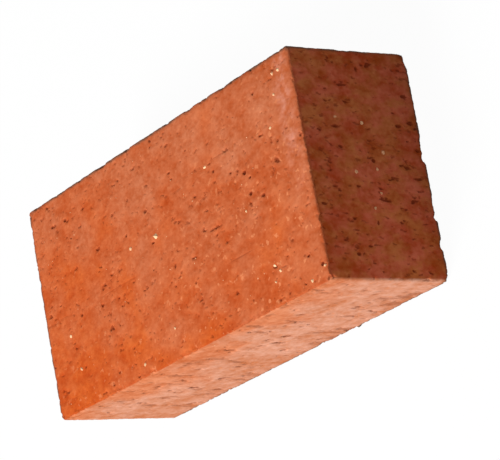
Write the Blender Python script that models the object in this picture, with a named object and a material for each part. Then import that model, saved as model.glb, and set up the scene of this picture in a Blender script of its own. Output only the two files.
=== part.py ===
"""A solid fired-clay building brick, lying on its bed.

The brick was extruded as a column of stiff clay and cut off by a wire, so its long and
short sides were smoothed by the die, its two beds were cut by the wire, and its upright
arrises are rounder than the arrises round the beds. It is one fired body with no holes.

X runs along the length, Y across the width and Z up. The origin is the centre of the
lower bed. All sizes are in metres.
"""

import bmesh
import bpy
from mathutils import Vector

LENGTH = 0.240
WIDTH = 0.115
HEIGHT = 0.071

DIE_ARRIS = 0.0022      # rounding of the four upright arrises, made by the corners of the die
WIRE_ARRIS = 0.0010     # rounding of the arrises round both beds, where the wire came out
DIE_SEGMENTS = 4
WIRE_SEGMENTS = 2

CLAY_COLOUR = (0.50, 0.115, 0.041, 1.0)
CLAY_ROUGHNESS = 0.92

EAST = LENGTH / 2
NORTH = WIDTH / 2

# Each spall is knocked off an arris or a corner: the point of the sharp arris that it is
# nearest to, how far it runs along X, Y and Z from there, and how deep it bites.
SPALLS = {
    "worn_corner": ((EAST, -NORTH, HEIGHT), (0.0056, 0.0050, 0.0052), 0.0024),
    "broken_corner": ((EAST, NORTH, 0.0), (0.0042, 0.0120, 0.0050), 0.0026),
    "rubbed_corner": ((EAST, -NORTH, 0.0), (0.0044, 0.0048, 0.0046), 0.0019),
    "far_corner": ((-EAST, -NORTH, HEIGHT), (0.0044, 0.0040, 0.0040), 0.0017),
    "header_step": ((EAST, 0.0100, 0.0), (0.0030, 0.0090, 0.0028), 0.0014),
    "header_notch": ((EAST, -0.0200, 0.0), (0.0030, 0.0080, 0.0028), 0.0014),
    "bed_flake": ((-0.0460, NORTH, HEIGHT), (0.0070, 0.0028, 0.0026), 0.0013),
    "low_flake": ((0.0340, NORTH, 0.0), (0.0085, 0.0036, 0.0032), 0.0017),
    "back_corner": ((-EAST, NORTH, 0.0), (0.0062, 0.0050, 0.0050), 0.0022),
}


def clear_scene():
    for old in list(bpy.data.objects):
        bpy.data.objects.remove(old, do_unlink=True)


def fired_clay():
    clay = bpy.data.materials.new("fired_clay")
    clay.use_nodes = True
    shader = clay.node_tree.nodes["Principled BSDF"]
    shader.inputs["Base Color"].default_value = CLAY_COLOUR
    shader.inputs["Roughness"].default_value = CLAY_ROUGHNESS
    shader.inputs["Metallic"].default_value = 0.0
    clay.diffuse_color = CLAY_COLOUR
    return clay


def upright(edge):
    first, second = edge.verts
    return abs(first.co.z - second.co.z) > HEIGHT / 2


def on_a_bed(edge):
    return sum(abs(face.normal.z) > 0.5 for face in edge.link_faces) == 1


def round_arrises(mesh, edges, radius, segments):
    bmesh.ops.bevel(
        mesh,
        geom=edges,
        offset=radius,
        offset_type="OFFSET",
        affect="EDGES",
        segments=segments,
        profile=0.5,
        clamp_overlap=True,
    )
    mesh.normal_update()


def pressed_column():
    """The cut length of column: a block whose upright arrises are rounder than its bed arrises."""
    block = bmesh.new()
    bmesh.ops.create_cube(block, size=1.0)
    bmesh.ops.scale(block, vec=Vector((LENGTH, WIDTH, HEIGHT)), verts=block.verts)
    bmesh.ops.translate(block, vec=Vector((0.0, 0.0, HEIGHT / 2)), verts=block.verts)
    block.normal_update()
    round_arrises(block, [edge for edge in block.edges if upright(edge)], DIE_ARRIS, DIE_SEGMENTS)
    round_arrises(block, [edge for edge in block.edges if on_a_bed(edge)], WIRE_ARRIS, WIRE_SEGMENTS)
    mesh = bpy.data.meshes.new("brick_body")
    block.to_mesh(mesh)
    block.free()
    return mesh


def spall(name, arris_point, reach, bite):
    """A shallow scoop: an egg whose surface passes the stated depth inside the sharp arris."""
    sharp = Vector(arris_point)
    middle = Vector((0.0, 0.0, HEIGHT / 2))
    half = Vector((EAST, NORTH, HEIGHT / 2))
    outward = Vector((0.0, 0.0, 0.0))
    for axis in range(3):
        offset = (sharp[axis] - middle[axis]) / half[axis]
        if abs(offset) > 0.99:
            outward[axis] = offset
    outward.normalize()
    scoop = bmesh.new()
    bmesh.ops.create_icosphere(scoop, subdivisions=2, radius=1.0)
    bmesh.ops.scale(scoop, vec=Vector(reach), verts=scoop.verts)
    along = 1.0 / sum((outward[axis] / reach[axis]) ** 2 for axis in range(3)) ** 0.5
    bmesh.ops.translate(scoop, vec=sharp + outward * (along - bite), verts=scoop.verts)
    mesh = bpy.data.meshes.new(name)
    scoop.to_mesh(mesh)
    scoop.free()
    cutter = bpy.data.objects.new(name, mesh)
    bpy.context.collection.objects.link(cutter)
    cutter.hide_render = True
    cutter.display_type = "WIRE"
    return cutter


def knock_off(body, cutter):
    cut = body.modifiers.new(cutter.name, "BOOLEAN")
    cut.operation = "DIFFERENCE"
    cut.solver = "EXACT"
    cut.object = cutter


def brick_body():
    body = bpy.data.objects.new("brick_body", pressed_column())
    bpy.context.collection.objects.link(body)
    body.data.materials.append(fired_clay())
    body.data.shade_smooth()
    body.data.set_sharp_from_angle(angle=0.6)
    for name, (arris_point, reach, bite) in SPALLS.items():
        knock_off(body, spall(name, arris_point, reach, bite))
    return body


clear_scene()
brick_body()
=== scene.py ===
"""A solid wire-cut clay brick: its worn and pitted body, and the pale grains held in it."""

import math
import random

import bmesh
import bpy
import numpy as np
from mathutils import Matrix, Quaternion, Vector


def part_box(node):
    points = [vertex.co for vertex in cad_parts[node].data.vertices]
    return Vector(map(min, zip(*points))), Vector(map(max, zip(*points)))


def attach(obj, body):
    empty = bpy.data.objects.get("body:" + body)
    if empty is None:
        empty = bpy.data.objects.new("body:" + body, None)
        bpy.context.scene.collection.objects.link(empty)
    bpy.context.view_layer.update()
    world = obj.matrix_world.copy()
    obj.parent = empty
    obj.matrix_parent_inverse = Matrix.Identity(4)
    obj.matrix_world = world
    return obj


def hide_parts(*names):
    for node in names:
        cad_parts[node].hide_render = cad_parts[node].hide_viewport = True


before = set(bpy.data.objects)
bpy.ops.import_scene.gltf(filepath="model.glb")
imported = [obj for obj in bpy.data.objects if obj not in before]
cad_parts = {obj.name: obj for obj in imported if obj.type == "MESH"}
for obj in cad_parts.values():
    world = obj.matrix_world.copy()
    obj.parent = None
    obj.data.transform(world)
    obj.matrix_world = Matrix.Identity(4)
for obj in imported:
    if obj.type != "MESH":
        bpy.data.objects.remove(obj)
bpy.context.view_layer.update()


# ---------------------------------------------------------------------------------------
# THE BLOCK. One solid piece of stiff clay, pressed through a die as a tall column and cut
# off by a wire above and below. The die's corners left its upright arrises well rounded,
# and the wire left the arrises of its two beds sharper.

LOW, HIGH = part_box("brick_body")
MIDDLE = (LOW + HIGH) / 2
SIZE = HIGH - LOW
EAST, NORTH = HIGH.x, HIGH.y
BED = HIGH.z

DIE_ARRIS = 0.0021
WIRE_ARRIS = 0.0010


def pick_edges(mesh, wanted):
    """Selects the edges of the mesh being edited for which wanted(edge) is true."""
    edited = bmesh.from_edit_mesh(mesh)
    for edge in edited.edges:
        edge.select = wanted(edge)
    edited.select_flush_mode()
    bmesh.update_edit_mesh(mesh)


def is_upright(edge):
    first, second = edge.verts
    return abs(first.co.z - second.co.z) > SIZE.z / 2


def is_bed_arris(edge):
    return sum(abs(face.normal.z) > 0.5 for face in edge.link_faces) == 1


def apply_all(piece):
    """Applies every modifier of a piece, in order."""
    bpy.context.view_layer.objects.active = piece
    for name in [modifier.name for modifier in piece.modifiers]:
        bpy.ops.object.modifier_apply(modifier=name)


bpy.ops.object.select_all(action="DESELECT")
bpy.ops.mesh.primitive_cube_add(size=1.0, location=MIDDLE, scale=SIZE)
body = bpy.context.active_object
body.name = "clay_body"
bpy.ops.object.transform_apply(location=True, rotation=True, scale=True)
bpy.ops.object.mode_set(mode="EDIT")
bpy.ops.mesh.select_mode(type="EDGE")
pick_edges(body.data, is_upright)
bpy.ops.mesh.bevel(offset=DIE_ARRIS, segments=6, profile=0.5)
pick_edges(body.data, is_bed_arris)
bpy.ops.mesh.bevel(offset=WIRE_ARRIS, segments=4, profile=0.5)
bpy.ops.object.mode_set(mode="OBJECT")


# ---------------------------------------------------------------------------------------
# THE SPALLS. Knocks in the kiln car, on the pallet and on site broke small shells off the
# corners and nicked the arrises. Each is a shallow scoop with a rough, granular floor.

SPALL_ROUGHNESS = 0.0011

# For each scoop: the point of the sharp arris that it is centred on, its reach along X, Y
# and Z, and how far it bites in from there. The first nine are those of the CAD body.
SPALLS = [
    ((EAST, -NORTH, BED), (0.0056, 0.0050, 0.0052), 0.0024),
    ((EAST, NORTH, 0.0), (0.0042, 0.0120, 0.0050), 0.0026),
    ((EAST, -NORTH, 0.0), (0.0044, 0.0048, 0.0046), 0.0019),
    ((-EAST, -NORTH, BED), (0.0044, 0.0040, 0.0040), 0.0017),
    ((EAST, 0.0100, 0.0), (0.0030, 0.0090, 0.0028), 0.0014),
    ((EAST, -0.0200, 0.0), (0.0030, 0.0080, 0.0028), 0.0014),
    ((-0.0460, NORTH, BED), (0.0070, 0.0028, 0.0026), 0.0013),
    ((0.0340, NORTH, 0.0), (0.0085, 0.0036, 0.0032), 0.0017),
    ((-EAST, NORTH, 0.0), (0.0062, 0.0050, 0.0050), 0.0022),
    ((EAST, 0.0042, 0.0), (0.0034, 0.0030, 0.0032), 0.0022),
    ((EAST, -0.0255, 0.0), (0.0034, 0.0028, 0.0032), 0.0022),
    ((EAST, -0.0395, 0.0), (0.0030, 0.0040, 0.0028), 0.0018),
    ((EAST, 0.0300, 0.0), (0.0018, 0.0032, 0.0018), 0.0008),
    ((-0.0120, -NORTH, BED), (0.0030, 0.0018, 0.0016), 0.0008),
    ((0.0790, -NORTH, BED), (0.0024, 0.0016, 0.0016), 0.0007),
    ((-0.0870, NORTH, BED), (0.0028, 0.0018, 0.0016), 0.0008),
    ((0.0420, NORTH, BED), (0.0022, 0.0016, 0.0014), 0.0007),
    ((-EAST, 0.0180, BED), (0.0016, 0.0024, 0.0016), 0.0008),
    ((-EAST, 0.0420, BED), (0.0016, 0.0020, 0.0016), 0.0009),
    ((EAST, -0.0230, BED), (0.0014, 0.0020, 0.0014), 0.0006),
    ((0.0210, -NORTH, 0.0), (0.0030, 0.0018, 0.0018), 0.0008),
    ((-0.0640, -NORTH, 0.0), (0.0040, 0.0022, 0.0020), 0.0010),
    ((-0.0780, NORTH, 0.0), (0.0034, 0.0024, 0.0022), 0.0010),
    ((-EAST, -0.0310, 0.0), (0.0024, 0.0042, 0.0022), 0.0011),
    ((-EAST, NORTH, 0.0460), (0.0026, 0.0026, 0.0034), 0.0014),
    ((EAST, NORTH, 0.0500), (0.0024, 0.0024, 0.0026), 0.0012),
]


def outward_of(point):
    """The way out of the block there, halfway between its faces on an arris or at a corner."""
    way = Vector((0.0, 0.0, 0.0))
    for axis in range(3):
        offset = (point[axis] - MIDDLE[axis]) / (SIZE[axis] / 2)
        if abs(offset) > 0.98:
            way[axis] = math.copysign(1.0, offset)
    return way.normalized()


crumble = bpy.data.textures.new("crumble", "CLOUDS")
crumble.noise_scale = 0.0018
crumble.noise_depth = 3


def rough_egg(spot, reach, bite, detail, roughness):
    """An egg with a crumbled skin. It reaches bite metres into the block from the spot."""
    outward = outward_of(Vector(spot))
    radius = 1.0 / math.sqrt(sum((outward[axis] / reach[axis]) ** 2 for axis in range(3)))
    bpy.ops.object.select_all(action="DESELECT")
    centre = Vector(spot) + outward * (radius - bite)
    bpy.ops.mesh.primitive_ico_sphere_add(subdivisions=detail, radius=1.0, location=centre, scale=reach)
    egg = bpy.context.active_object
    bpy.ops.object.transform_apply(location=True, rotation=True, scale=True)
    rough = egg.modifiers.new("rough", "DISPLACE")
    rough.texture = crumble
    rough.texture_coords = "LOCAL"
    rough.strength = roughness
    apply_all(egg)
    return egg


def join_all(pieces, name):
    """Joins the pieces into the first one."""
    bpy.ops.object.select_all(action="DESELECT")
    for piece in pieces:
        piece.select_set(True)
    bpy.context.view_layer.objects.active = pieces[0]
    bpy.ops.object.join()
    pieces[0].name = name
    return pieces[0]


def cut_or_add(eggs, operation):
    """Cuts the eggs out of the body or joins them to it, and removes them."""
    eggs = join_all(eggs, "eggs")
    knock = body.modifiers.new("knock", "BOOLEAN")
    knock.operation = operation
    knock.object = eggs
    knock.use_self = True
    apply_all(body)
    bpy.data.objects.remove(eggs)


scoops = [rough_egg(*spall, detail=4, roughness=SPALL_ROUGHNESS) for spall in SPALLS]
cut_or_add(scoops, "DIFFERENCE")

# A crumb of clay that stuck to the lower arris of the long side and was fired there.
CRUMB = (0.0495, -NORTH, 0.0013)
CRUMB_REACH = (0.0013, 0.0011, 0.0011)
cut_or_add([rough_egg(CRUMB, CRUMB_REACH, bite=0.0011, detail=3, roughness=0.0006)], "UNION")


# ---------------------------------------------------------------------------------------
# THE OPEN PITS. Stones and air pockets that the wire and the die tore out of the wet clay,
# drawn out along the beds and up the sides. These are the largest ones.

PIT_ROUGHNESS = 0.0010
TORN_ROUGHNESS = 0.0012

# For each pit: where it lies on its face, its half length, its half width and its depth.
BED_PITS = [
    (0.0710, 0.0115, 0.0016, 0.0013, 0.0012), (0.0745, 0.0080, 0.0012, 0.0010, 0.0010),
    (0.0730, 0.0005, 0.0013, 0.0012, 0.0011), (0.0820, -0.0035, 0.0019, 0.0010, 0.0011),
    (0.0470, 0.0210, 0.0011, 0.0010, 0.0010), (0.0105, 0.0330, 0.0019, 0.0010, 0.0009),
    (-0.0690, 0.0420, 0.0016, 0.0010, 0.0010), (-0.0120, 0.0045, 0.0016, 0.0010, 0.0009),
    (-0.0890, -0.0370, 0.0010, 0.0008, 0.0008), (0.1070, -0.0420, 0.0013, 0.0009, 0.0010),
    (0.1160, -0.0487, 0.0014, 0.0010, 0.0011),
]
HEADER_PITS = [
    (0.0475, 0.0320, 0.0012, 0.0017, 0.0010), (0.0180, 0.0510, 0.0032, 0.0010, 0.0010),
    (0.0365, 0.0530, 0.0016, 0.0008, 0.0009), (0.0015, 0.0320, 0.0012, 0.0013, 0.0011),
    (-0.0115, 0.0440, 0.0017, 0.0009, 0.0010), (-0.0295, 0.0365, 0.0010, 0.0016, 0.0009),
    (-0.0450, 0.0515, 0.0016, 0.0009, 0.0010), (-0.0070, 0.0070, 0.0036, 0.0009, 0.0010),
    (0.0195, 0.0125, 0.0022, 0.0012, 0.0009), (-0.0410, 0.0435, 0.0020, 0.0009, 0.0008),
    (-0.0250, 0.0550, 0.0028, 0.0007, 0.0007), (-0.0212, 0.0620, 0.0010, 0.0008, 0.0008),
    (-0.0256, 0.0626, 0.0010, 0.0008, 0.0006), (-0.0133, 0.0622, 0.0013, 0.0007, 0.0006),
    (-0.0184, 0.0490, 0.0009, 0.0010, 0.0007), (-0.0281, 0.0204, 0.0016, 0.0007, 0.0008),
    (-0.0099, 0.0263, 0.0020, 0.0008, 0.0007), (-0.0078, 0.0201, 0.0018, 0.0008, 0.0007),
    (-0.0162, 0.0085, 0.0009, 0.0012, 0.0008), (0.0118, 0.0092, 0.0018, 0.0007, 0.0007),
    (0.0403, 0.0459, 0.0016, 0.0007, 0.0007), (0.0432, 0.0352, 0.0009, 0.0010, 0.0008),
    (0.0512, 0.0333, 0.0017, 0.0007, 0.0007), (0.0497, 0.0282, 0.0014, 0.0009, 0.0008),
    (0.0448, 0.0078, 0.0010, 0.0010, 0.0006), (0.0527, 0.0236, 0.0014, 0.0007, 0.0006),
]
STRETCHER_PITS = [
    (-0.0590, 0.0270, 0.0044, 0.0015, 0.0010), (-0.0430, 0.0205, 0.0028, 0.0013, 0.0011),
    (-0.0250, 0.0465, 0.0024, 0.0012, 0.0010), (0.0075, 0.0495, 0.0034, 0.0014, 0.0010),
    (0.0200, 0.0290, 0.0050, 0.0012, 0.0010), (0.0305, 0.0320, 0.0036, 0.0015, 0.0010),
    (0.0150, 0.0355, 0.0030, 0.0010, 0.0009), (0.0250, 0.0385, 0.0038, 0.0009, 0.0009),
    (-0.0630, 0.0095, 0.0048, 0.0012, 0.0010), (-0.0885, 0.0085, 0.0034, 0.0013, 0.0009),
    (-0.0355, 0.0545, 0.0036, 0.0009, 0.0008), (-0.0210, 0.0260, 0.0046, 0.0010, 0.0008),
    (-0.0170, 0.0240, 0.0026, 0.0010, 0.0008), (-0.0600, 0.0500, 0.0022, 0.0009, 0.0008),
    (0.0660, 0.0490, 0.0044, 0.0009, 0.0008), (0.0480, 0.0450, 0.0020, 0.0009, 0.0008),
    (0.0765, 0.0240, 0.0034, 0.0008, 0.0008), (0.0825, 0.0095, 0.0016, 0.0011, 0.0008),
]


# The pits of a bed or a header are a little shallower than half of their egg.
SHALLOW = 0.9

pits = []
for x, y, long, wide, deep in BED_PITS:
    pits.append(rough_egg((x, y, BED), (long, wide, deep), deep * SHALLOW, 3, PIT_ROUGHNESS))
for y, z, long, wide, deep in HEADER_PITS:
    pits.append(rough_egg((EAST, y, z), (deep, wide, long), deep * SHALLOW, 3, PIT_ROUGHNESS))
for x, z, long, wide, deep in STRETCHER_PITS:
    pits.append(rough_egg((x, -NORTH, z), (wide, deep, long), deep, 3, TORN_ROUGHNESS))
cut_or_add(pits, "DIFFERENCE")


# ---------------------------------------------------------------------------------------
# THE CLAY. What the clay shows is the same in its relief and in its colour, so each mark is
# one field of its place in the block, in metres. Pores and pinholes lie open all over, drawn
# out a little along the beds by the wire and up the sides by the die.


def add_node(tree, kind, inputs=None, **settings):
    node = tree.nodes.new(kind)
    for name, value in settings.items():
        setattr(node, name, value)
    for name, value in (inputs or {}).items():
        if isinstance(value, bpy.types.NodeSocket):
            tree.links.new(value, node.inputs[name])
        else:
            node.inputs[name].default_value = value
    return node


def calc(tree, operation, *values):
    """A Math node of these numbers or sockets."""
    return add_node(tree, "ShaderNodeMath", dict(enumerate(values)), operation=operation).outputs[0]


def vector(tree, operation, *values):
    """A Vector Math node's vector."""
    return add_node(tree, "ShaderNodeVectorMath", dict(enumerate(values)), operation=operation).outputs[0]


def ease(tree, value, start, end):
    """0 where value is at start, 1 where it is at end, with a soft turn at both."""
    inputs = {"Value": value, "From Min": start, "From Max": end}
    return add_node(tree, "ShaderNodeMapRange", inputs, interpolation_type="SMOOTHSTEP").outputs[0]


def noise(tree, place, grain, detail=3.0, roughness=0.55):
    """Fractal noise from 0 to 1 whose coarsest lumps are about grain metres across."""
    inputs = {"Vector": place, "Scale": 1.0 / grain, "Detail": detail, "Roughness": roughness}
    return add_node(tree, "ShaderNodeTexNoise", inputs).outputs[0]


def stretched(tree, place, along):
    """The place with its lengths divided along X, Y and Z, which draws a pattern out that much."""
    return vector(tree, "DIVIDE", place, along)


def jostled(tree, place, grain, amount):
    """The place pushed about by noise, which makes round marks ragged."""
    inputs = {"Vector": place, "Scale": 1.0 / grain, "Detail": 2.0}
    push = add_node(tree, "ShaderNodeTexNoise", inputs).outputs["Color"]
    push = vector(tree, "SUBTRACT", push, (0.5, 0.5, 0.5))
    return vector(tree, "ADD", place, vector(tree, "MULTIPLY", push, (amount, amount, amount)))


def sides_of(tree, place):
    """How far the place lies below the two headers, the two stretcher faces and the two beds."""
    offset = vector(tree, "ABSOLUTE", vector(tree, "SUBTRACT", place, tuple(MIDDLE)))
    below = vector(tree, "SUBTRACT", tuple(SIZE / 2), offset)
    return add_node(tree, "ShaderNodeSeparateXYZ", {0: below}).outputs


def near_face(tree, below):
    """1 on a face and 0 from 1.4 mm below it."""
    return calc(tree, "SUBTRACT", 1.0, ease(tree, below, 0.0004, 0.0014))


def arris_of(tree, below):
    """1 on an arris and 0 from 3 mm away: the middle one of the three depths is the way to the arris."""
    x, y, z = below
    nearer = calc(tree, "MINIMUM", x, y)
    further = calc(tree, "MAXIMUM", x, y)
    middle = calc(tree, "MAXIMUM", nearer, calc(tree, "MINIMUM", further, z))
    return calc(tree, "SUBTRACT", 1.0, ease(tree, middle, 0.0002, 0.0032))


def either(tree, amount, first, second):
    """The first place where amount is 0, and the second where it is 1."""
    node = add_node(tree, "ShaderNodeMix", data_type="VECTOR")
    for name, value in (("Factor", amount), ("A", first), ("B", second)):
        tree.links.new(value, next(i for i in node.inputs if i.name == name and i.enabled))
    return next(o for o in node.outputs if o.enabled)


def part_of(tree, share, *values):
    """The product of a plain share and one or more marks."""
    made = share
    for value in values:
        made = calc(tree, "MULTIPLY", made, value)
    return made


def clay_marks(tree, place):
    """Every mark of the clay at this place as a number from 0 to 1, and its depths below the faces."""
    below = sides_of(tree, place)
    bed = near_face(tree, below[2])
    side = calc(tree, "SUBTRACT", 1.0, bed)
    long_side = part_of(tree, side, near_face(tree, below[1]))
    short_side = part_of(tree, side, near_face(tree, below[0]))
    arris = arris_of(tree, below)
    ragged = jostled(tree, place, 0.0016, 0.0010)

    # The wire drew the clay of the beds along X, and the die drew that of the sides along Z.
    wiped = stretched(tree, ragged, (1.5, 1.0, 1.0))
    drawn = either(tree, side, wiped, stretched(tree, ragged, (1.0, 1.0, 2.0)))
    smeared = stretched(tree, place, (1.3, 1.0, 1.0))
    eased = either(tree, side, smeared, stretched(tree, place, (1.0, 1.0, 1.3)))
    scratch = noise(tree, stretched(tree, place, (30.0, 1.0, 1.0)), 0.0030)
    torn = stretched(tree, ragged, (1.0, 1.0, 3.0))

    # A pore lies open where its noise is below this. Pores crowd together in drifts, and
    # there are more of them on the headers.
    crowd = ease(tree, noise(tree, place, 0.028, 2.0), 0.40, 0.62)
    open_below = calc(tree, "MULTIPLY_ADD", crowd, 0.045, 0.310)
    open_below = calc(tree, "MULTIPLY_ADD", short_side, 0.030, open_below)
    wide_open = calc(tree, "SUBTRACT", open_below, 0.095)

    # Inside a spall or a pit, away from the arrises, the place lies below all of its faces.
    deepest = calc(tree, "MINIMUM", below[2], calc(tree, "MINIMUM", below[0], below[1]))
    hollow = part_of(tree, ease(tree, deepest, 0.00020, 0.00065), calc(tree, "SUBTRACT", 1.0, arris))
    return {
        "below": below,
        "bed": bed,
        "long_side": long_side,
        "short_side": short_side,
        "arris": arris,
        "hollow": hollow,
        "tone": noise(tree, eased, 0.040, 5.0, 0.88),
        "crumb": noise(tree, eased, 0.0062, 2.0, 0.90),
        "pore": ease(tree, noise(tree, drawn, 0.0033, 2.0, 0.45), open_below, wide_open),
        "pinhole": ease(tree, noise(tree, drawn, 0.0018, 1.0, 0.50), open_below, wide_open),
        "tear": part_of(tree, long_side, ease(tree, noise(tree, torn, 0.0060, 3.0, 0.60), 0.440, 0.32)),
        "drag": part_of(tree, bed, ease(tree, scratch, 0.32, 0.25)),
        "fleck": ease(tree, noise(tree, ragged, 0.0030, 2.0, 0.45), 0.630, 0.73),
    }


def relief_of(tree, place):
    """How far the surface lies below the smooth block, in metres."""
    marks = clay_marks(tree, place)
    nibbled = ease(tree, noise(tree, place, 0.0048, 5.0, 0.62), 0.46, 0.72)
    rubbed = ease(tree, noise(tree, place, 0.024, 1.0), 0.40, 0.64)
    rubbed = calc(tree, "MULTIPLY_ADD", rubbed, 0.75, 0.25)
    parts = [
        (noise(tree, place, 0.060, 1.0), 0.00050),
        (marks["tone"], -0.00090),
        (marks["crumb"], -0.00040),
        (marks["pore"], 0.00080),
        (marks["pinhole"], 0.00030),
        (marks["tear"], 0.00045),
        (marks["drag"], 0.00020),
        (part_of(tree, marks["arris"], nibbled, rubbed), 0.00135),
    ]
    depth = 0.00038
    for mark, deep in parts:
        depth = calc(tree, "MULTIPLY_ADD", mark, deep, depth)
    return depth


# The block is given an even skin of small faces, which then sinks by the relief. Each point
# keeps its place on the smooth block, for the colours to be read from.
SKIN = 0.00046
MOST_TRIANGLES = 190_000

skin = body.modifiers.new("skin", "REMESH")
skin.mode = "VOXEL"
skin.voxel_size = SKIN
apply_all(body)

sinking = bpy.data.node_groups.new("sink_by_relief", "GeometryNodeTree")
sinking.interface.new_socket("Geometry", in_out="INPUT", socket_type="NodeSocketGeometry")
sinking.interface.new_socket("Geometry", in_out="OUTPUT", socket_type="NodeSocketGeometry")
came_in = sinking.nodes.new("NodeGroupInput").outputs[0]
place_now = sinking.nodes.new("GeometryNodeInputPosition").outputs[0]
normal_now = sinking.nodes.new("GeometryNodeInputNormal").outputs[0]
kept = add_node(
    sinking,
    "GeometryNodeStoreNamedAttribute",
    {"Geometry": came_in, "Name": "smooth_place", "Value": place_now},
    data_type="FLOAT_VECTOR",
    domain="POINT",
)
inward = add_node(
    sinking,
    "ShaderNodeVectorMath",
    {0: normal_now, "Scale": calc(sinking, "MULTIPLY", relief_of(sinking, place_now), -1.0)},
    operation="SCALE",
).outputs[0]
sunk = add_node(sinking, "GeometryNodeSetPosition", {"Geometry": kept.outputs[0], "Offset": inward})
sinking.links.new(sunk.outputs[0], sinking.nodes.new("NodeGroupOutput").inputs[0])
sink = body.modifiers.new("sink", "NODES")
sink.node_group = sinking
apply_all(body)

body.data.calc_loop_triangles()
thin = body.modifiers.new("thin", "DECIMATE")
thin.ratio = min(1.0, MOST_TRIANGLES / len(body.data.loop_triangles))
thin.use_collapse_triangulate = True
apply_all(body)
body.data.shade_smooth()

# The clay's own map: the six faces of the block laid out in one square, the two beds and
# then the two stretcher faces above each other, and the headers in the column beside them.
SQUARE = 2 * (SIZE.y + SIZE.z) + 0.0005
COLUMN_GAP = 0.008
UV_GAP = 0.0008


def lay_out_faces(mesh):
    """Writes the map from each point's place on the smooth block and the side that its face lies on."""
    count = len(mesh.vertices)
    places = np.empty(count * 3, np.float32)
    mesh.attributes["smooth_place"].data.foreach_get("vector", places)
    places = places.reshape(-1, 3)
    corners = np.empty(len(mesh.loops), np.int32)
    mesh.loops.foreach_get("vertex_index", corners)
    corners = corners.reshape(-1, 3)
    a, b, c = (places[corners[:, k]] for k in range(3))
    normals = np.cross(b - a, c - a)
    axis = np.abs(normals).argmax(axis=1)
    upper = np.take_along_axis(normals, axis[:, None], axis=1)[:, 0] > 0
    local = places[corners] - np.array(LOW)
    x, y, z = (local[:, :, k] for k in range(3))
    length, width, height = SIZE
    across = np.select([axis[:, None] == 2, axis[:, None] == 1], [x, x], length + COLUMN_GAP + z)
    up = np.select([axis[:, None] == 2, axis[:, None] == 1], [y, 2 * width + z], y)
    step = np.select([axis == 2, axis == 1], [width, height], width)
    up = up + (upper * step)[:, None]
    gap = UV_GAP * (1 + np.select([axis == 2, axis == 1], [0, 2], 0) + upper)[:, None]
    spread = np.stack([UV_GAP + across, gap + up], axis=2) / (SQUARE + 5 * UV_GAP)
    layer = mesh.uv_layers.new(name="OFBake")
    layer.data.foreach_set("uv", spread.astype(np.float32).ravel())


lay_out_faces(body.data)


# ---------------------------------------------------------------------------------------
# THE FIRED SURFACE. Red-burning clay, dry and matt. The beds and headers show the raw
# orange body; the long sides have a paler, pinker skin that the wet die drew out of it.

BODY_ORANGE = (0.500, 0.100, 0.026, 1.0)
BED_ORANGE = (0.515, 0.080, 0.010, 1.0)
BED_PINK = (0.500, 0.129, 0.049, 1.0)
HEADER_OLIVE = (0.445, 0.100, 0.022, 1.0)
HEADER_RED = (0.520, 0.088, 0.038, 1.0)
SKIN_ORANGE = (0.640, 0.190, 0.076, 1.0)
SKIN_PINK = (0.650, 0.262, 0.146, 1.0)
PALE_BAND = (0.660, 0.270, 0.185, 1.0)
GROG = (0.720, 0.240, 0.100, 1.0)
# The colours of the painted shade in the hollows and on the arrises, for the raw body and for the drawn
# skin.
PIT_SHADE_BODY = (0.190, 0.024, 0.005, 1.0)
PIT_SHADE_SKIN = (0.350, 0.105, 0.046, 1.0)
# The colour of the painted shade on the arrises at the back, on the left and at the bottom.
ARRIS_SHADE = (0.140, 0.080, 0.050, 1.0)
BURNT_CRUMB = (0.085, 0.045, 0.020, 1.0)

# What the clay's colour is multiplied by in its darkest and palest lumps.
DARK_LUMP = (0.80, 0.53, 0.24, 1.0)
PALE_LUMP = (1.20, 1.50, 1.85, 1.0)


def blend(tree, amount, under, over):
    """A colour over another one, as strongly as amount says."""
    node = add_node(tree, "ShaderNodeMix", data_type="RGBA")
    for name, value in (("Factor", amount), ("A", under), ("B", over)):
        socket = next(i for i in node.inputs if i.name == name and i.enabled)
        if isinstance(value, bpy.types.NodeSocket):
            tree.links.new(value, socket)
        else:
            socket.default_value = value
    return next(o for o in node.outputs if o.enabled)


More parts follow.
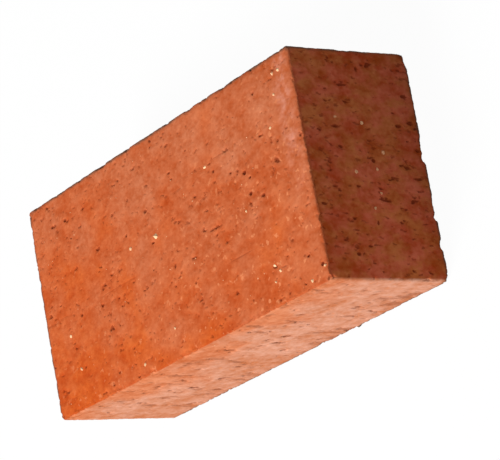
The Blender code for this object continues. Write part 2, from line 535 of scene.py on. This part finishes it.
def fired_clay():
    clay = bpy.data.materials.new("fired_clay")
    clay.use_nodes = True
    clay.diffuse_color = BODY_ORANGE
    tree = clay.node_tree
    shader = tree.nodes["Principled BSDF"]
    shader.inputs["Specular IOR Level"].default_value = 0.09
    place = add_node(tree, "ShaderNodeAttribute", attribute_name="smooth_place").outputs["Vector"]
    marks = clay_marks(tree, place)
    x, y, z = add_node(tree, "ShaderNodeSeparateXYZ", {0: place}).outputs

    # The raw body burnt pinker towards one corner of the beds and a deeper orange towards
    # the other, in soft drifts. The headers have redder and olive ones, darker to the back.
    drift = noise(tree, place, 0.034, 3.0, 0.60)
    bloom = calc(tree, "MULTIPLY_ADD", x, 1.5, calc(tree, "MULTIPLY_ADD", y, 4.6, 0.58))
    bloom = calc(tree, "MULTIPLY_ADD", calc(tree, "SUBTRACT", drift, 0.5), 1.7, bloom)
    pinker = ease(tree, bloom, -0.05, 1.05)
    raw = blend(tree, pinker, BED_ORANGE, BED_PINK)
    burnt = noise(tree, stretched(tree, place, (1.0, 0.7, 1.0)), 0.013, 3.0, 0.60)
    redder = ease(tree, burnt, 0.36, 0.64)
    reddened = blend(tree, redder, HEADER_OLIVE, HEADER_RED)
    reddened = vector(tree, "MULTIPLY", reddened, calc(tree, "MULTIPLY_ADD", y, -1.5, 0.985))
    raw = blend(tree, part_of(tree, 0.85, marks["short_side"]), raw, reddened)

    # The drawn skin of the long sides, pinker away from the upper bed.
    paler = calc(tree, "MULTIPLY_ADD", calc(tree, "SUBTRACT", drift, 0.5), 0.10, z)
    paler = ease(tree, paler, BED, BED - 0.034)
    drawn_skin = blend(tree, paler, SKIN_ORANGE, SKIN_PINK)
    colour = blend(tree, marks["long_side"], raw, drawn_skin)

    # A pale pink band in patches along the upper bed, a few millimetres in from its right arris.
    strip = calc(tree, "ABSOLUTE", calc(tree, "SUBTRACT", x, EAST - 0.009))
    pale_band = part_of(tree, ease(tree, strip, 0.0085, 0.001), ease(tree, y, -0.020, 0.020), marks["bed"])
    pale_band = part_of(tree, ease(tree, noise(tree, place, 0.006, 3.0, 0.60), 0.36, 0.62), pale_band)
    colour = blend(tree, part_of(tree, 0.45, pale_band), colour, PALE_BAND)

    # Darker and paler clay that the mixer left unblended, in lumps of every size.
    coarse = calc(tree, "MULTIPLY_ADD", marks["short_side"], 0.60, 1.00)
    fine = calc(tree, "MULTIPLY_ADD", marks["short_side"], 0.30, 0.75)
    lumps = calc(tree, "MULTIPLY_ADD", calc(tree, "SUBTRACT", marks["tone"], 0.5), coarse, 0.5)
    lumps = calc(tree, "MULTIPLY_ADD", calc(tree, "SUBTRACT", marks["crumb"], 0.5), fine, lumps)
    shade = blend(tree, ease(tree, lumps, 0.1, 0.9), DARK_LUMP, PALE_LUMP)
    colour = vector(tree, "MULTIPLY", colour, shade)

    # Salmon flecks of crushed grog, thickest towards one corner of the beds and few on the
    # headers.
    thick = ease(tree, calc(tree, "SUBTRACT", calc(tree, "MULTIPLY", x, 0.5), y), -0.06, 0.09)
    flecked = calc(tree, "MULTIPLY_ADD", thick, 0.50, 0.22)
    flecked = calc(tree, "MULTIPLY", flecked, calc(tree, "MULTIPLY_ADD", marks["short_side"], -0.7, 1.0))
    colour = blend(tree, part_of(tree, flecked, marks["fleck"]), colour, GROG)

    # Painted shade in the pits, spalls, pores and pinholes, in the tears and the drag furrows, and
    # lightly along every arris.
    hole = calc(tree, "MAXIMUM", marks["pore"], part_of(tree, 0.60, marks["pinhole"]))
    open_share = calc(tree, "MULTIPLY_ADD", marks["short_side"], 0.22, 0.74)
    hole = calc(tree, "MAXIMUM", calc(tree, "MULTIPLY", open_share, hole), marks["hollow"])
    painted_shade = blend(tree, marks["long_side"], PIT_SHADE_BODY, PIT_SHADE_SKIN)
    colour = blend(tree, part_of(tree, 0.92, hole), colour, painted_shade)
    colour = blend(tree, part_of(tree, 0.60, marks["tear"]), colour, painted_shade)
    colour = blend(tree, part_of(tree, 0.35, marks["drag"]), colour, painted_shade)
    colour = blend(tree, part_of(tree, 0.18, marks["arris"]), colour, painted_shade)

    # Painted shade, in patches, on the arrises at the back, on the left and at the bottom.
    back = calc(tree, "MINIMUM", calc(tree, "SUBTRACT", NORTH, y), calc(tree, "ADD", EAST, x))
    back = calc(tree, "MINIMUM", back, z)
    shaded_arris = part_of(tree, ease(tree, back, 0.0040, 0.0006), ease(tree, marks["arris"], 0.15, 0.80))
    patchy = calc(tree, "MULTIPLY_ADD", ease(tree, noise(tree, place, 0.012), 0.36, 0.54), 0.55, 0.20)
    shaded_arris = calc(tree, "MULTIPLY", shaded_arris, patchy)
    colour = blend(tree, shaded_arris, colour, ARRIS_SHADE)

    # The crumb burnt dark, as thin bits do.
    outside = ease(tree, marks["below"][1], -0.0001, -0.0004)
    colour = blend(tree, part_of(tree, 0.85, outside), colour, BURNT_CRUMB)
    tree.links.new(colour, shader.inputs["Base Color"])

    tree.links.new(calc(tree, "MULTIPLY_ADD", marks["tone"], 0.20, 0.80), shader.inputs["Roughness"])

    height = noise(tree, place, 0.0010, 3.0, 0.60)
    height = calc(tree, "MULTIPLY_ADD", marks["crumb"], 1.5, height)
    height = calc(tree, "MULTIPLY_ADD", hole, -1.2, height)
    height = calc(tree, "MULTIPLY_ADD", marks["tear"], -1.2, height)
    keen = calc(tree, "MULTIPLY_ADD", marks["long_side"], -0.24, 0.42)
    bump = add_node(tree, "ShaderNodeBump", {"Height": height, "Strength": keen, "Distance": 0.0003})
    tree.links.new(bump.outputs[0], shader.inputs["Normal"])
    return clay


body.data.materials.clear()
body.data.materials.append(fired_clay())
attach(body, "root")
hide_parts("brick_body")


# ---------------------------------------------------------------------------------------
# THE PALE GRAINS. Crushed quartz and feldspar in the clay, which the fire leaves whole. The
# ones at the surface sit deep in it and stand a little proud, the large ones of the bed most.

# The larger ones: where each lies on its face, and how much of its length shows. The whole
# grain is longer by this factor.
WHOLE_BED_GRAIN = 1.45
WHOLE_HEADER_GRAIN = 1.35
BED_GRAINS = [
    (-0.009, 0.0065, 0.0042), (0.041, 0.025, 0.0023), (0.097, 0.0245, 0.0016),
    (0.104, 0.0385, 0.0016), (0.110, 0.049, 0.0024), (0.1055, 0.0485, 0.0018),
    (0.067, -0.0065, 0.0015), (0.081, -0.0380, 0.0017), (-0.032, 0.008, 0.0024),
    (-0.098, -0.018, 0.0018), (-0.006, -0.042, 0.0022), (-0.093, -0.037, 0.0020),
    (-0.036, -0.0515, 0.0020), (0.080, -0.046, 0.0018), (0.085, -0.0420, 0.0017),
    (0.107, -0.054, 0.0020), (0.1178, -0.0500, 0.0018),
]
HEADER_GRAINS = [
    (0.0225, 0.0505, 0.0016), (0.020, 0.035, 0.0018), (0.0055, 0.0255, 0.0023), (-0.003, 0.0310, 0.0019),
    (-0.0045, 0.0440, 0.0022), (-0.015, 0.0315, 0.0015), (-0.0225, 0.037, 0.0014),
]
SMALL_GRAINS = 230
SMALLEST = 0.00085
SPREAD = 0.00130

# The share of the small ones that stay hidden on the headers, stretcher faces and beds.
HIDDEN_SHARES = (0.85, 0.60, 0.0)

# A grain's half length, half width and half height as shares of its length.
GRAIN_SHAPE = ((0.42, 0.50), (0.32, 0.46), (0.30, 0.40))

dice = random.Random(7)


def surface_at(face, across, up):
    """The point of the finished surface on one side of the block, and the way out there."""
    axis, sign = face
    start = Vector(MIDDLE)
    others = [k for k in range(3) if k != axis]
    start[others[0]], start[others[1]] = across, up
    way = Vector((0.0, 0.0, 0.0))
    way[axis] = sign
    start[axis] = MIDDLE[axis] + sign * SIZE[axis]
    struck, spot, _, _ = body.ray_cast(start, -way)
    return (spot, way) if struck else (None, way)


def seat(pattern, face, across, up, length, proud, tints):
    """A copy of the pattern, turned at random and set into a side. It stands out by proud metres."""
    spot, way = surface_at(face, across, up)
    if spot is None:
        return None
    shape = [length * dice.uniform(*share) for share in GRAIN_SHAPE]
    turn = Quaternion([dice.gauss(0, 1) for _ in range(4)]).normalized()
    copy = pattern.copy()
    copy.data = pattern.data.copy()
    bpy.context.scene.collection.objects.link(copy)
    half_height = Vector([a * b for a, b in zip(shape, turn.inverted() @ way)]).length
    seat_at = Matrix.Translation(spot - way * (half_height - proud))
    copy.data.transform(seat_at @ turn.to_matrix().to_4x4() @ Matrix.Diagonal((*shape, 1.0)))
    tint = dice.uniform(*tints)
    copy.data.attributes["tint"].data.foreach_set("value", [tint] * len(copy.data.vertices))
    return copy


def random_place(margin):
    """A side of the block, chosen by its area, and a place on it."""
    sides = [(axis, sign) for axis in range(3) for sign in (-1, 1)]
    areas = [SIZE[(axis + 1) % 3] * SIZE[(axis + 2) % 3] for axis, _ in sides]
    face = dice.choices(sides, areas)[0]
    across, up = (
        dice.uniform(LOW[k] + margin, HIGH[k] - margin) for k in range(3) if k != face[0]
    )
    return face, across, up


bpy.ops.object.select_all(action="DESELECT")
bpy.ops.mesh.primitive_ico_sphere_add(subdivisions=1, radius=1.0)
chip = bpy.context.active_object
bpy.ops.object.mode_set(mode="EDIT")
bpy.ops.mesh.select_all(action="SELECT")
bpy.ops.transform.vertex_random(offset=0.30, seed=3)
bpy.ops.object.mode_set(mode="OBJECT")
chip.data.attributes.new("tint", "FLOAT", "POINT")

grains = []
for x, y, length in BED_GRAINS:
    proud = 0.00035 + 0.18 * length
    grains.append(seat(chip, (2, 1), x, y, length * WHOLE_BED_GRAIN, proud, tints=(0.0, 0.35)))
for y, z, length in HEADER_GRAINS:
    whole = length * WHOLE_HEADER_GRAIN
    grains.append(seat(chip, (0, 1), y, z, whole, proud=0.00100, tints=(0.3, 0.6)))
for _ in range(SMALL_GRAINS):
    face, across, up = random_place(margin=0.0022)
    length = SMALLEST + SPREAD * dice.random() ** 2.5
    if dice.random() < HIDDEN_SHARES[face[0]]:
        continue
    grains.append(seat(chip, face, across, up, length, proud=0.00022, tints=(0.3, 1.0)))
bpy.data.objects.remove(chip)
grains = join_all([grain for grain in grains if grain], "pale_grains")


QUARTZ = (0.880, 0.600, 0.330, 1.0)
FELDSPAR = (0.720, 0.270, 0.120, 1.0)


def pale_mineral():
    mineral = bpy.data.materials.new("pale_mineral")
    mineral.use_nodes = True
    mineral.diffuse_color = (0.78, 0.52, 0.33, 1.0)
    tree = mineral.node_tree
    shader = tree.nodes["Principled BSDF"]
    shader.inputs["Specular IOR Level"].default_value = 0.35
    place = add_node(tree, "ShaderNodeTexCoord").outputs["Object"]
    tint = add_node(tree, "ShaderNodeAttribute", attribute_name="tint").outputs["Fac"]
    cloud = noise(tree, place, 0.0007, 3.0)
    amount = calc(tree, "MULTIPLY_ADD", cloud, 0.5, calc(tree, "MULTIPLY", tint, 0.75))
    amount = ease(tree, amount, 0.15, 1.0)
    colour = blend(tree, amount, QUARTZ, FELDSPAR)
    tree.links.new(colour, shader.inputs["Base Color"])
    tree.links.new(calc(tree, "MULTIPLY_ADD", cloud, 0.30, 0.35), shader.inputs["Roughness"])
    bump = add_node(tree, "ShaderNodeBump", {"Height": cloud, "Strength": 0.35, "Distance": 0.0001})
    tree.links.new(bump.outputs[0], shader.inputs["Normal"])
    return mineral


grains.data.materials.clear()
grains.data.materials.append(pale_mineral())
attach(grains, "root")


# ---------------------------------------------------------------------------------------
# THE STUDIO. A wide pale floor under an even white sky, one large soft lamp high on the
# left, in front of the long side, and a much weaker one for the header, which is in shade.

FLOOR_SIZE = 24.0
FLOOR_GAP = 0.0002
FLOOR_GREY = (0.30, 0.30, 0.30, 1.0)
WHITE = (1.0, 1.0, 1.0, 1.0)
FLOOR_GLOW = 1.07
GLOW_SHARE = 0.90
SKY_LIGHT = 0.25

bpy.ops.object.select_all(action="DESELECT")
bpy.ops.mesh.primitive_plane_add(size=FLOOR_SIZE, location=(0.0, 0.0, LOW.z - FLOOR_GAP))
floor = bpy.context.active_object
floor.name = "floor"
pale = bpy.data.materials.new("pale_floor")
pale.use_nodes = True
pale_tree = pale.node_tree
paint = pale_tree.nodes["Principled BSDF"]
paint.inputs["Base Color"].default_value = FLOOR_GREY
paint.inputs["Roughness"].default_value = 0.9
paint.inputs["Specular IOR Level"].default_value = 0.1

# The floor glows white where it is looked at, but lights the brick only as pale paint does.
glow = add_node(pale_tree, "ShaderNodeEmission", {"Color": WHITE, "Strength": FLOOR_GLOW})
seen = pale_tree.nodes.new("ShaderNodeLightPath").outputs["Is Camera Ray"]
mix = add_node(pale_tree, "ShaderNodeMixShader", {0: calc(pale_tree, "MULTIPLY", seen, GLOW_SHARE)})
pale_tree.links.new(paint.outputs[0], mix.inputs[1])
pale_tree.links.new(glow.outputs[0], mix.inputs[2])
pale_tree.links.new(mix.outputs[0], pale_tree.nodes["Material Output"].inputs["Surface"])
floor.data.materials.append(pale)

# The sky is white too where it is looked at, and lights the brick more weakly.
world = bpy.data.worlds.new("white_sky")
world.use_nodes = True
sky_tree = world.node_tree
sky = sky_tree.nodes["Background"]
looked_at = sky_tree.nodes.new("ShaderNodeLightPath").outputs["Is Camera Ray"]
strength = calc(sky_tree, "MULTIPLY_ADD", looked_at, 1.0 - SKY_LIGHT, SKY_LIGHT)
sky_tree.links.new(strength, sky.inputs["Strength"])
sky.inputs["Color"].default_value = WHITE
bpy.context.scene.world = world
bpy.context.scene.view_settings.view_transform = "Standard"


def soft_lamp(name, towards, distance, size, power):
    """A square lamp in the direction towards from the brick, facing it."""
    way = Vector(towards).normalized()
    light = bpy.data.lights.new(name, "AREA")
    light.size = size
    light.energy = power
    lamp = bpy.data.objects.new(name, light)
    bpy.context.scene.collection.objects.link(lamp)
    lamp.location = MIDDLE + way * distance
    lamp.rotation_euler = (-way).to_track_quat("-Z", "Y").to_euler()
    return lamp


soft_lamp("key_lamp", (-0.30, -0.60, 0.74), distance=2.4, size=1.0, power=76.0)
soft_lamp("fill_lamp", (0.85, -0.40, 0.35), distance=2.4, size=1.6, power=11.0)

# The camera stands at the end of the brick, above it, and is turned on its side.
CAMERA_PLACE = Vector((1.0662, -0.3733, 0.8412))
CAMERA_AIM = Vector((0.0091, 0.0049, 0.0260))
CAMERA_ROLL = math.radians(-88.49)
LENS = 199.58

eye = bpy.data.cameras.new("camera")
eye.lens = LENS
eye.sensor_width = 36.0
eye.clip_start = 0.05
camera = bpy.data.objects.new("camera", eye)
bpy.context.scene.collection.objects.link(camera)
level = (CAMERA_AIM - CAMERA_PLACE).to_track_quat("-Z", "Y")
turned = level @ Quaternion((0, 0, 1), CAMERA_ROLL)
camera.matrix_world = Matrix.Translation(CAMERA_PLACE) @ turned.to_matrix().to_4x4()
bpy.context.scene.camera = camera
